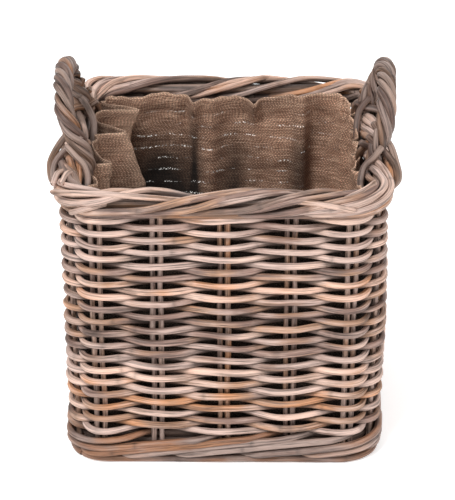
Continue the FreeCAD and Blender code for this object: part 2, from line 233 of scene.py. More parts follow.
@dataclass(frozen=True)
class CaneFinish:
    """Weathered cane: grey-pink skin, tan and orange where it has worn, fibres along it, painted shade and a
    little dirt where its depth is high.
    """

    name: str
    skin: tuple = (0.262, 0.158, 0.124)
    worn: tuple = (0.430, 0.240, 0.148)
    bare: tuple = (0.620, 0.275, 0.120)
    silver: tuple = (0.540, 0.405, 0.350)
    bark: tuple = (0.105, 0.068, 0.054)
    dirt_and_painted_shade: tuple = (0.030, 0.017, 0.013)
    brightness: float = 1.0
    runs_along: int | None = None

    def make(self) -> bpy.types.Material:
        """Builds the material."""
        bench = Bench(self.name)
        if self.runs_along is None:
            grain, light, warm, rough_bark, ring, depth = self._swept(bench)
        else:
            grain, light, warm, rough_bark, ring, depth = self._straight(bench)
        fibres = bench.noise(grain, (400.0, 400.0, 14.0), 3.0)
        hairs = bench.noise(grain, (1500.0, 1500.0, 34.0), 2.0)
        blotches = bench.noise(grain, (110.0, 110.0, 34.0), 3.0)
        patches = bench.noise(grain, (45.0, 45.0, 9.0), 2.0)

        warmth = warm + (patches - 0.5) * 1.7
        colour = bench.mix(warmth.between(0.22, 0.56), self.skin, self.worn)
        colour = bench.mix(warmth.between(0.64, 0.96) * 0.8, colour, self.bare)
        bloom = (fibres * 0.60 + blotches * 0.60 + light * 0.45).between(0.62, 0.96)
        colour = bench.mix(bloom * 0.66, colour, self.silver)
        strips = (hairs * 0.6 + fibres * 0.6).between(0.42, 0.66)
        bark = (rough_bark + (blotches - 0.5) * 1.2).between(0.45, 0.8) * strips
        colour = bench.mix(bark * 0.75, colour, self.bark)
        streak = fibres.between(0.54, 0.38) * 0.6 + hairs.between(0.52, 0.38) * 0.4
        shade = (0.84 + light * 0.46) * (1.0 - streak * 0.80) * (1.0 - ring * 0.35)
        colour = bench.brighten(colour, shade * self.brightness)
        # Painted shade: darkens the cane where its depth attribute is high (grooves, undersides, tucked
        # runs); on straight canes the depth is random dirt.
        colour = bench.mix(depth.between(0.12, 1.0) * 0.86, colour, self.dirt_and_painted_shade)

        roughness = 0.44 + fibres * 0.18 + bark * 0.24 + depth * 0.12
        height = fibres * 0.35 + hairs * 0.2 + blotches * 0.25 + bark * 0.35 + ring * 0.5
        bench.finish(colour, roughness, height, 0.0014)
        return bench.material

    def _swept(self, bench: Bench) -> tuple:
        """Reads the cane's own grain, tone, ring and depth attributes."""
        grain = bench.attribute("grain").outputs["Vector"]
        light, warm, rough_bark = bench.parts(bench.attribute("tone").outputs["Vector"])
        ring, depth = (Value(bench, bench.attribute(name).outputs["Fac"]) for name in ("ring", "depth"))
        return grain, light, warm, rough_bark, ring, depth

    def _straight(self, bench: Bench) -> tuple:
        """Makes the same values for straight canes that run along one axis, from their place."""
        place = bench.parts(bench.node("ShaderNodeTexCoord").outputs["Object"])
        run = place[self.runs_along]
        across = place[1 - self.runs_along]
        grain = bench.node("ShaderNodeCombineXYZ", None, {0: across, 1: place[2], 2: run}).outputs[0]
        light = bench.noise(grain, (70.0, 70.0, 2.0)).between(0.35, 0.65)
        warm = bench.noise(grain, (55.0, 40.0, 3.0)).between(0.32, 0.68)
        rough_bark = bench.noise(grain, (40.0, 90.0, 4.0)).between(0.5, 0.8)
        ring = bench.noise(grain, (60.0, 60.0, 45.0)).between(0.66, 0.70)
        return grain, light, warm, rough_bark, ring, rough_bark * 0.3


@dataclass(frozen=True)
class HessianFinish:
    """Coarse open jute: threads over and under each other, with holes between them."""

    name: str = "hessian"
    pitch: float = 0.0021
    row: float = 0.0164
    thread: tuple = (0.440, 0.245, 0.160)
    pale: tuple = (0.820, 0.560, 0.400)
    thread_gap_shade: tuple = (0.040, 0.016, 0.009)
    daylight: tuple = (1.0, 0.97, 0.92)

    def make(self) -> bpy.types.Material:
        """Builds the material from the cloth's own map, which is in metres."""
        bench = Bench(self.name)
        cloth = bench.node("ShaderNodeUVMap", {"uv_map": "cloth"}).outputs[0]
        open_to_light = Value(bench, bench.attribute("open").outputs["Fac"])
        hem = Value(bench, bench.attribute("hem").outputs["Fac"])
        shaded = Value(bench, bench.attribute("shaded").outputs["Fac"])
        across, up, _ = bench.parts(cloth)
        slack_across = bench.noise(cloth, (60.0, 260.0, 1.0), 2.0)
        slack_up = bench.noise(cloth, (260.0, 60.0, 1.0), 2.0)
        warp_at = (across + (slack_across - 0.5) * 0.0016) / self.pitch
        weft_at = (up + (slack_up - 0.5) * 0.0016) / self.pitch
        warp = 1.0 - (warp_at.fraction() - 0.5).size() * 2.0
        weft = 1.0 - (weft_at.fraction() - 0.5).size() * 2.0
        turn = ((warp_at.whole() + weft_at.whole()) * 0.5).fraction() * 2.0
        thick_warp = bench.noise(cloth, (540.0, 34.0, 1.0), 2.0)
        thick_weft = bench.noise(cloth, (34.0, 540.0, 1.0), 2.0)
        warp_body = (warp + (thick_warp - 0.5) * 0.5).between(-0.15, 0.60)
        weft_body = (weft + (thick_weft - 0.5) * 0.9).between(0.08, 0.75)
        warp_top = warp_body * (0.62 + turn * 0.38)
        weft_top = weft_body * (1.0 - turn * 0.38)
        height = warp_top.most(weft_top)
        fuzz = bench.noise(cloth, (1500.0, 1500.0, 1.0), 3.0)
        cloud = bench.noise(cloth, (22.0, 22.0, 1.0), 3.0)
        tint = thick_warp * 0.25 + thick_weft * 0.75

        # Painted shade in the low places between the threads.
        colour = bench.mix(height.between(0.15, 0.9), self.thread_gap_shade, self.thread)
        colour = bench.mix((tint + (fuzz - 0.5) * 0.7).between(0.44, 0.66) * height * 0.8, colour, self.pale)
        colour = bench.mix(hem.between(0.35, 1.0) * 0.45, colour, self.pale)
        knot = turn * weft_body * warp.between(0.0, 0.6)
        shade = (0.18 + cloud * 1.15 + (fuzz - 0.5) * 1.0 + knot * 0.62).most(0.12)
        colour = bench.brighten(colour, shade * (1.0 - shaded * 0.95).most(0.04))
        body = warp_body.most(weft_body)
        holes = (body + hem * 0.6 + (cloud - 0.5) * 0.30).between(0.05, 0.11)
        # Painted light: glowing specks in rows, standing in for daylight through the cloth, where the open
        # attribute allows.
        line = 1.0 - ((up / self.row + (cloud - 0.5) * 0.5).fraction() - 0.5).size() * 2.0
        threadbare = bench.noise(cloth, (30.0, 90.0, 1.0), 2.0)
        dots = bench.noise(cloth, (560.0, 420.0, 1.0), 1.0)
        open_row = line.between(0.82, 0.92) * threadbare.between(0.51, 0.58) * dots.between(0.55, 0.62)
        daylight = bench.mix(open_row * open_to_light, (0.0, 0.0, 0.0), self.daylight)
        extra = {"Alpha": holes, "Emission_Color": daylight, "Emission_Strength": 0.8}
        bench.finish(colour, 0.86 + fuzz * 0.12, height + fuzz * 0.3, 0.0012, **extra)
        return bench.material


@dataclass(frozen=True)
class FloorFinish:
    """Plain pale studio floor."""

    name: str = "studio_floor"
    colour: tuple = (0.96, 0.96, 0.96)
    glow: float = 0.38

    def make(self) -> bpy.types.Material:
        """Builds the material."""
        bench = Bench(self.name)
        inputs = {"Base Color": self.colour, "Roughness": 0.9, "Emission Color": self.colour}
        inputs["Emission Strength"] = self.glow
        shader = bench.node("ShaderNodeBsdfPrincipled", None, inputs)
        bench.node("ShaderNodeOutputMaterial", None, {"Surface": shader.outputs[0]})
        return bench.material


class Cloth(Enum):
    """Fibre that a sheet can be made of."""

    HESSIAN = "liner_hessian"


class Wood(Enum):
    """Kinds of cane, each with the record's material slot that it takes."""

    WEAVER = "weaver_cane"
    STAKE = "stake_cane"
    BORDER = "border_cane"
    HANDLE = "handle_cane"


FINISHES = {
    Wood.WEAVER: CaneFinish("weaver_cane", brightness=1.22),
    Wood.STAKE: CaneFinish("stake_cane", brightness=0.92),
    Wood.BORDER: CaneFinish("border_cane", brightness=1.16),
    Wood.HANDLE: CaneFinish("handle_cane", skin=(0.275, 0.156, 0.118), brightness=0.58),
}
STICK_FINISH = CaneFinish("stick_cane", brightness=0.9, runs_along=1)
BASE_FINISH = CaneFinish("base_cane", runs_along=0)
HOOP_FINISH = CaneFinish("hoop_cane", brightness=0.6, runs_along=0)
FOOT_FINISH = CaneFinish("foot_cane", worn=(0.50, 0.23, 0.12), brightness=0.72)


# --------------------------------------------------------------------------- canes


class Wander:
    """A value that wavers smoothly along a length, the same at each run."""

    def __init__(self, rng: np.random.Generator, amount: float, wavelength: float, terms: int = 4) -> None:
        """Draws the waves.

        Args:
            rng: Where the waves come from.
            amount: About the largest value.
            wavelength: Typical length of a wave.
            terms: Number of waves that are added up.
        """
        self.rates = TAU / (wavelength * rng.uniform(0.55, 1.7, terms))
        self.phases = rng.uniform(0, TAU, terms)
        self.amount = amount * math.sqrt(1.6 / terms)

    def __call__(self, along: np.ndarray) -> np.ndarray:
        """The value at each distance along."""
        waves = np.sin(np.multiply.outer(along, self.rates) + self.phases)
        return self.amount * waves.sum(-1) / math.sqrt(len(self.rates)) * 1.2


def smooth_line(corners: np.ndarray, step: float = STEP) -> np.ndarray:
    """Runs a smooth line through corners.

    Args:
        corners: Points that the line goes through.
        step: Distance between the points of the result.

    Returns:
        Evenly spaced points.
    """
    ends = np.vstack([2 * corners[0] - corners[1], corners, 2 * corners[-1] - corners[-2]])
    share = np.linspace(0, 1, 24, endpoint=False)[:, None]
    runs = []
    for before, start, end, after in zip(ends, ends[1:], ends[2:], ends[3:]):
        bend = 2 * before - 5 * start + 4 * end - after
        twist = 3 * start - 3 * end + after - before
        runs.append(start + 0.5 * share * ((end - before) + share * (bend + share * twist)))
    return evenly(np.vstack(runs + [corners[-1:]]), step)


def evenly(points: np.ndarray, step: float = STEP) -> np.ndarray:
    """Spaces the points of a line evenly, and carries any further columns along."""
    travelled = np.concatenate([[0], np.cumsum(np.linalg.norm(np.diff(points[:, :3], axis=0), axis=1))])
    places = np.linspace(0, travelled[-1], max(int(travelled[-1] / step), 3) + 1)
    return np.stack([np.interp(places, travelled, column) for column in points.T], axis=1)


def doubled_ends(values: np.ndarray) -> np.ndarray:
    """Repeats the first and the last value of a line."""
    return np.concatenate([values[:1], values, values[-1:]])


def points_of(mesh: bpy.types.Mesh) -> np.ndarray:
    """Reads where a mesh's points are."""
    places = np.empty(len(mesh.vertices) * 3)
    mesh.vertices.foreach_get("co", places)
    return places.reshape(-1, 3)


@dataclass
class Cane:
    """One cane: its line, its thickness and its looks."""

    line: np.ndarray
    radius: float
    seed: int
    # depth: painted shade along the line, 0 to 1; core: points whose facing side of the cane gets painted
    # shade
    depth: np.ndarray | None = None
    core: np.ndarray | None = None
    light: float | None = None
    warm: float | None = None
    bark: float | None = None
    slant: float = 0.35
    lumpy: float = 0.045
    lip: float = 0.3
    end_width: float = 0.80
    ring_swell: float = 0.07
    ring_length: float = 0.0028

    def make(self) -> bpy.types.Object:
        """Sweeps the cane and writes its grain, tone, ring and depth attributes, the depth being painted
        shade.
        """
        rng = np.random.default_rng(self.seed)
        line = self.line
        steps = np.linalg.norm(np.diff(line, axis=0), axis=1)
        along = np.concatenate([[0], np.cumsum(steps)])
        thick = self.radius * (1 + Wander(rng, 0.05, 0.16)(along) + Wander(rng, 0.03, 0.03)(along))
        rings = self._rings(rng, along)
        thick = thick * (1 + self.ring_swell * rings)
        lip = self.lip * self.radius
        line = np.vstack([
            line[:1],
            line[:1] + (line[1] - line[0]) * lip / steps[0],
            line[1:-1],
            line[-1:] - (line[-1] - line[-2]) * lip / steps[-1],
            line[-1:],
        ])
        depth = np.zeros(len(self.line)) if self.depth is None else self.depth
        along, thick, rings, depth = (doubled_ends(values) for values in (along, thick, rings, depth))
        thick[[0, -1]] *= self.end_width
        piece = self._sweep(line, thick)
        mesh = piece.data
        count = len(line)
        sides = len(mesh.vertices) // count
        places = points_of(mesh).reshape(count, sides, 3)
        centre = places.mean(axis=1, keepdims=True)
        reach = places - centre
        turn = np.arange(sides) / sides * TAU
        wavy = sum(
            Wander(rng, 1.0, 0.09)(along)[:, None] * np.cos(order * turn + rng.uniform(0, TAU))[None, :]
            for order in (1, 2, 3)
        )
        reach = reach * (1 + self.lumpy * wavy)[:, :, None]
        places = centre + reach
        heading = line[-1] - line[-2]
        cut = reach[-1] @ (reach[-1][0] / np.linalg.norm(reach[-1][0]))
        places[-1] += self.slant * cut[:, None] * heading / np.linalg.norm(heading)
        mesh.vertices.foreach_set("co", places.ravel())
        depth = np.repeat(depth[:, None], sides, axis=1)
        # Painted shade: the side of the cane that faces its core, the groove side, is darkened through the
        # depth attribute.
        if self.core is not None:
            outward = line - doubled_ends(self.core)
            outward /= np.linalg.norm(outward, axis=1, keepdims=True) + 1e-9
            facing = np.einsum("rsk,rk->rs", reach, outward) / (np.linalg.norm(reach, axis=2) + 1e-9)
            depth = np.clip(depth + 0.95 * np.clip(0.50 - facing, 0, 1), 0, 1)

        grain = np.empty((count, sides, 3))
        grain[:, :, 0] = self.radius * np.cos(turn) + rng.uniform(0, 40)
        grain[:, :, 1] = self.radius * np.sin(turn) + rng.uniform(0, 40)
        grain[:, :, 2] = along[:, None]
        light = rng.uniform(0.1, 0.9) if self.light is None else self.light
        warm = rng.beta(2.0, 2.4) if self.warm is None else self.warm
        bark = rng.beta(1.1, 5.0) if self.bark is None else self.bark
        tone = np.stack([
            light + Wander(rng, 0.26, 0.09)(along),
            warm + Wander(rng, 0.24, 0.14)(along),
            bark + Wander(rng, 0.20, 0.08)(along),
        ], axis=1)
        self._write(mesh, "grain", "FLOAT_VECTOR", grain)
        self._write(mesh, "tone", "FLOAT_VECTOR", np.repeat(tone[:, None, :], sides, axis=1))
        self._write(mesh, "ring", "FLOAT", np.repeat(rings[:, None], sides, axis=1))
        self._write(mesh, "depth", "FLOAT", depth)
        return piece

    def _rings(self, rng: np.random.Generator, along: np.ndarray) -> np.ndarray:
        """Where the cane has its joints, as a value from 0 to 1."""
        rings = np.zeros(len(along))
        place = rng.uniform(0.0, 0.2)
        while place < along[-1]:
            rings = np.maximum(rings, np.exp(-((along - place) / self.ring_length) ** 2))
            place += rng.uniform(0.12, 0.26)
        return rings

    def _sweep(self, line: np.ndarray, thick: np.ndarray) -> bpy.types.Object:
        """Draws the line as a round curve and makes it a mesh."""
        curve = bpy.data.curves.new("cane", "CURVE")
        curve.dimensions = "3D"
        curve.bevel_depth = 1.0
        curve.bevel_resolution = 3
        curve.resolution_u = 1
        spline = curve.splines.new("POLY")
        spline.points.add(len(line) - 1)
        spline.points.foreach_set("co", np.column_stack([line, np.ones(len(line))]).ravel())
        spline.points.foreach_set("radius", thick)
        piece = bpy.data.objects.new("cane", curve)
        bpy.context.collection.objects.link(piece)
        pick([piece])
        bpy.ops.object.convert(target="MESH")
        return bpy.context.object

    def _write(self, mesh: bpy.types.Mesh, name: str, kind: str, values: np.ndarray) -> None:
        """Writes one attribute of the mesh's points."""
        target = mesh.attributes.new(name, kind, "POINT")
        target.data.foreach_set("vector" if kind == "FLOAT_VECTOR" else "value", values.ravel())


def pick(pieces: list) -> None:
    """Selects these objects only, with the first one active."""
    bpy.ops.object.select_all(action="DESELECT")
    for piece in pieces:
        piece.select_set(True)
    bpy.context.view_layer.objects.active = pieces[0]


def bundle(name: str, canes: list[Cane]) -> bpy.types.Object:
    """Makes the canes of one piece, joins them and closes their cut ends.

    Args:
        name: The piece's name.
        canes: Its canes.

    Returns:
        The piece.
    """
    made = [cane.make() for cane in canes]
    pick(made)
    if len(made) > 1:
        bpy.ops.object.join()
    piece = bpy.context.object
    piece.name = name
    piece.data.name = name
    bpy.ops.object.mode_set(mode="EDIT")
    bpy.ops.mesh.select_mode(type="EDGE")
    bpy.ops.mesh.select_all(action="DESELECT")
    bpy.ops.mesh.select_non_manifold(extend=False, use_wire=False, use_multi_face=False,
                                     use_non_contiguous=False, use_verts=False)
    bpy.ops.mesh.fill_holes(sides=0)
    bpy.ops.mesh.select_all(action="SELECT")
    bpy.ops.mesh.normals_make_consistent(inside=False)
    bpy.ops.object.mode_set(mode="OBJECT")
    bpy.ops.object.shade_smooth_by_angle(angle=math.radians(48))
    return piece


def fit(piece: bpy.types.Object, finish: bpy.types.Material, nodes: list[str]) -> None:
    """Gives a piece its finish, its body and the CAD nodes that it stands for."""
    piece.data.materials.clear()
    piece.data.materials.append(finish)
    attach(piece, "root")
    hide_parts(*nodes)
    log.info("%s: %d faces", piece.name, len(piece.data.polygons))


# --------------------------------------------------------------------------- the basket's plan


@dataclass
class WallPlan:
    """Plan of the walls: a square with round corners that widens towards the rim."""

    rim_half: float
    foot_half: float
    rim_level: float
    corner_radius: float = 0.040
    inner_spacing: float = 0.0790
    rim_outer_spacing: float = 0.0715
    foot_outer_spacing: float = 0.0690
    bellies: tuple = (0.0010, 0.0095, 0.0010, 0.0008)

    @classmethod
    def measured(cls) -> "WallPlan":
        """Takes the plan from the boxes of the border's hoop and of the stakes."""
        low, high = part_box("border_core")
        stake_low, stake_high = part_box("stakes_right")
        hoop = (high.z - low.z) / 2
        rim_level = (high.z + low.z) / 2
        rim_half = high.x - hoop
        stake = 0.0031
        lean = (stake_high.x - stake - (stake_low.x + stake)) / (stake_high.z - stake_low.z)
        return cls(rim_half, rim_half - lean * rim_level, rim_level)

    def half(self, z: float | np.ndarray) -> float | np.ndarray:
        """Half the width of the wall's middle line at a height."""
        return self.foot_half + (self.rim_half - self.foot_half) * z / self.rim_level

    def quarter(self, z: float) -> float:
        """Length of the middle line from one corner to the next."""
        return 2 * (self.half(z) - self.corner_radius * (1 - math.pi / 4))

    def pair_at(self, z: float) -> np.ndarray:
        """Distances of all pairs of stakes along the middle line, from the front left corner."""
        widening = self.rim_outer_spacing - self.foot_outer_spacing
        outer = self.inner_spacing + self.foot_outer_spacing + widening * z / self.rim_level
        wall = np.array([-outer, -self.inner_spacing, 0.0, self.inner_spacing, outer])
        return np.concatenate([(k + 0.5) * self.quarter(z) + wall for k in range(WALLS)])

    def at(self, along: np.ndarray, offset: np.ndarray, z: np.ndarray, level: float) -> tuple:
        """Places on the wall.

        Args:
            along: Distances on the middle line from the front left corner.
            offset: How far outside the middle line.
            z: Heights.
            level: Height whose middle line along is measured on.

        Returns:
            The points and their outward normals.
        """
        quarter = self.quarter(level)
        half = self.half(z)
        wall = np.floor(along / quarter)
        local = along - (wall + 0.5) * quarter
        straight = self.half(level) - self.corner_radius
        turned = np.maximum(np.abs(local) - straight, 0) / self.corner_radius
        side = np.sign(local)
        x = side * (np.minimum(np.abs(local), straight) + self.corner_radius * np.sin(turned))
        y = -(half - self.corner_radius * (1 - np.cos(turned)))
        x = x + side * (half - self.half(level)) * np.clip(turned, 0, 1)
        out_x, out_y = side * np.sin(turned), -np.cos(turned)
        bulge = np.array(self.bellies)[(wall % WALLS).astype(int)]
        rise = np.sin(math.pi * np.clip(z / (0.92 * self.rim_level), 0, 1))
        offset = offset + bulge * rise * np.cos(math.pi * local / quarter)
        x, y = x + out_x * offset, y + out_y * offset
        cos, sin = np.cos(wall * math.pi / 2), np.sin(wall * math.pi / 2)
        points = np.stack([x * cos - y * sin, x * sin + y * cos, z + 0 * x], axis=-1)
        normals = np.stack([out_x * cos - out_y * sin, out_x * sin + out_y * cos, 0 * x], axis=-1)
        return points, normals

    def ring(self, level: float, offset: float, start: float = 0.0) -> np.ndarray:
        """A line once round the wall at one height, open by less than a millimetre."""
        total = WALLS * self.quarter(level)
        along = np.linspace(END_GAP, total - END_GAP, int(total / STEP)) + start
        points, _ = self.at(along % total, np.full(len(along), offset), np.full(len(along), level), level)
        return points


# --------------------------------------------------------------------------- sub-assemblies


@dataclass
class Sag:
    """How the courses of the wall rise and dip together."""

    seed: int = 5
    amount: float = 0.00115
    waves: list = field(default_factory=list)

    def __post_init__(self) -> None:
        """Draws the waves."""
        rng = np.random.default_rng(self.seed)
        self.waves = [
            (rng.integers(2, 13), rng.uniform(0, TAU), rng.uniform(8, 26), rng.uniform(-1, 1))
            for _ in range(9)
        ]

    def at(self, share: np.ndarray, z: float) -> np.ndarray:
        """How far a course is off its level, at shares of a round."""
        total = sum(
            weight * np.sin(TAU * turns * share + phase + rate * z)
            for turns, phase, rate, weight in self.waves
        )
        return self.amount * total


@dataclass
class Stakes:
    """Upright rods in pairs, from the floor to the border."""

    plan: WallPlan
    radius: float = 0.0033
    half_gap: float = 0.0044
    seed: int = 100

    def build(self, finish: bpy.types.Material) -> None:
        """Makes one piece for each wall."""
        for wall, name in enumerate(("front", "right", "back", "left")):
            low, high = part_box(f"stakes_{name}")
            rng = np.random.default_rng(self.seed + wall)
            canes = []
            heights = np.arange(low.z, high.z + STEP, STEP)
            for k in range(PAIRS):
                for side in (-1, 1):
                    gap = side * (self.half_gap + rng.uniform(-0.0004, 0.0008))
                    pairs = np.array([self.plan.pair_at(z)[wall * PAIRS + k] for z in heights])
                    sway = Wander(rng, 0.0009, 0.12)(heights)
                    out = Wander(rng, 0.0006, 0.10)(heights)
                    points = np.array([
                        self.plan.at(np.array([p + gap + s]), np.array([o]), np.array([z]), z)[0][0]
                        for p, s, o, z in zip(pairs, sway, out, heights)
                    ])
                    # Painted shade, even along the stakes behind the weave.
                    depth = np.full(len(heights), 0.28)
                    radius = self.radius * rng.uniform(0.9, 1.08)
                    canes.append(Cane(points, radius, rng.integers(1 << 30), depth, slant=0.1))
            fit(bundle(f"wall_stakes_{name}", canes), finish, [f"stakes_{name}"])


@dataclass
class Weave:
    """Plain weave of the walls: each course passes the pairs on the other side of the last one."""

    plan: WallPlan
    sag: Sag
    swing: float = 0.0073
    radius: float = 0.00396
    lap: float = 0.085
    seed: int = 200

    def offset(self, along: np.ndarray, level: float, outside: np.ndarray) -> np.ndarray:
        """How far outside the middle line a cane runs.

        Args:
            along: Distances on the middle line.
            level: The cane's height.
            outside: +1 or -1 for each pair.

        Returns:
            Offsets in units of the swing.
        """
        pairs = self.plan.pair_at(level)
        total = WALLS * self.plan.quarter(level)
        places = np.concatenate([pairs - total, pairs, pairs + total])
        sides = np.tile(outside, 3)
        k = np.clip(np.searchsorted(places, along) - 1, 0, len(places) - 2)
        share = (along - places[k]) / (places[k + 1] - places[k])
        share = np.clip((share - self.lap) / (1 - 2 * self.lap), 0, 1)
        ease = 0.5 - 0.5 * np.cos(math.pi * share)
        ease = 0.72 * ease + 0.28 * share
        return sides[k] + (sides[k + 1] - sides[k]) * ease

    def course(self, k: int, level: float) -> Cane:
        """One cane once round the basket, its ends meeting behind a pair of stakes."""
        rng = np.random.default_rng(self.seed + k)
        total = WALLS * self.plan.quarter(level)
        outside = np.array([1.0 if (pair + k) % 2 == 0 else -1.0 for pair in range(WALLS * PAIRS)])
        hidden = [pair for pair in range(WALLS * PAIRS) if outside[pair] < 0]
        first = self.plan.pair_at(level)[hidden[(k * 7) % len(hidden)]]
        along = np.linspace(first + END_GAP, first + total - END_GAP, int(total / STEP))
        share = along / total
        wave = self.offset(along % total, level, outside)
        tuck = Wander(rng, 0.0005, 0.10)(along)
        offset = wave * self.swing * (1 + Wander(rng, 0.05, 0.2)(along)) + tuck
        height = level + self.sag.at(share, level) + Wander(rng, 0.0008, 0.09)(along)
        height = height + rng.uniform(-0.0007, 0.0007)
        points, normals = self.plan.at(along % total, offset, height, level)
        # Painted shade: the core lies inside and below the cane, so its lower and inner flanks darken, and
        # its runs behind the stakes darken too.
        core = points - 0.008 * normals - (0, 0, 0.0055)
        depth = np.clip(0.33 - 0.70 * wave, 0, 1)
        warm = rng.choice([0.22, 0.36, 0.5, 0.7, 0.9], p=[0.26, 0.26, 0.22, 0.16, 0.10])
        thick = self.radius * rng.uniform(0.88, 1.09)
        return Cane(points, thick, rng.integers(1 << 30), depth, core, warm=warm)

    def build(self, finish: bpy.types.Material) -> None:
        """Makes one piece for each course."""
        names = sorted(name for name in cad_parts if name.startswith("weave_course_"))
        for k, name in enumerate(names):
            low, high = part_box(name)
            cane = self.course(k, (low.z + high.z) / 2)
            fit(bundle(f"wall_{name[6:]}", [cane]), finish, [name])


@dataclass
class FootWale:
    """Long strokes of thick cane round the foot, each outside the stakes as it climbs."""

    plan: WallPlan
    radius: float = 0.0045
    reach: float = 0.262
    swing: float = 0.0090
    tucked: float = -0.0062
    lowest: float = 0.0062
    highest: float = 0.0375
    rings: tuple = ((0.0049, 0.0058), (0.0145, -0.0078), (0.0240, -0.0078), (0.0335, -0.0078))
    seed: int = 300

    def build(self, finish: bpy.types.Material) -> None:
        """Makes one piece for each rod of the wale, with every fourth stroke in it."""
        names = sorted(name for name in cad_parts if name.startswith("foot_wale_rod_"))
        for k, name in enumerate(names):
            canes = [self.stroke(group) for group in range(k, WALLS * PAIRS, len(names))]
            canes.append(self.ring(k))
            fit(bundle(name.replace("foot_", ""), canes), finish, [name])

    def ring(self, k: int) -> Cane:
        """A run of one rod once round: the lowest outside the stakes, the others behind them."""
        level, offset = self.rings[k]
        line = self.plan.ring(level, offset, 0.11 * k)
        # Painted shade, deeper for the runs behind the stakes.
        return Cane(line, self.radius, self.seed + 90 + k, np.full(len(line), 0.55 - 25 * offset))

    def stroke(self, group: int) -> Cane:
        """One rod, from behind a pair of stakes at the floor to past the third pair after it, higher up."""
        rng = np.random.default_rng(self.seed + group)
        level = (self.lowest + self.highest) / 2
        total = WALLS * self.plan.quarter(level)
        start = self.plan.pair_at(level)[group] + rng.uniform(-0.007, 0.007)
        reach = self.reach * rng.uniform(0.95, 1.06)
        share = np.linspace(0, 1, int(reach / STEP))
        along = start + share * reach
        out = np.clip(share / 0.16, 0, 1) * np.clip((1 - share) / 0.20, 0, 1)
        out = out * out * (3 - 2 * out)
        offset = self.tucked + (self.swing - self.tucked) * out + 0.0012 * np.sin(math.pi * share)
        climb = (share ** 0.9) * (self.highest - self.lowest)
        height = self.lowest + climb + Wander(rng, 0.0008, 0.16)(share * reach)
        points, normals = self.plan.at(along % total, offset, np.maximum(height, self.lowest), level)
        # Painted shade: darker on the lower and inner flanks, and where the stroke is tucked behind the
        # stakes.
        core = points - 0.0042 * normals - (0, 0, 0.0042)
        depth = np.clip(0.66 - out, 0, 1)
        warm = rng.choice([0.3, 0.5, 0.8, 1.05], p=[0.3, 0.3, 0.2, 0.2])
        thick = self.radius * rng.uniform(0.88, 1.06)
        return Cane(points, thick, rng.integers(1 << 30), depth, core, warm=warm)


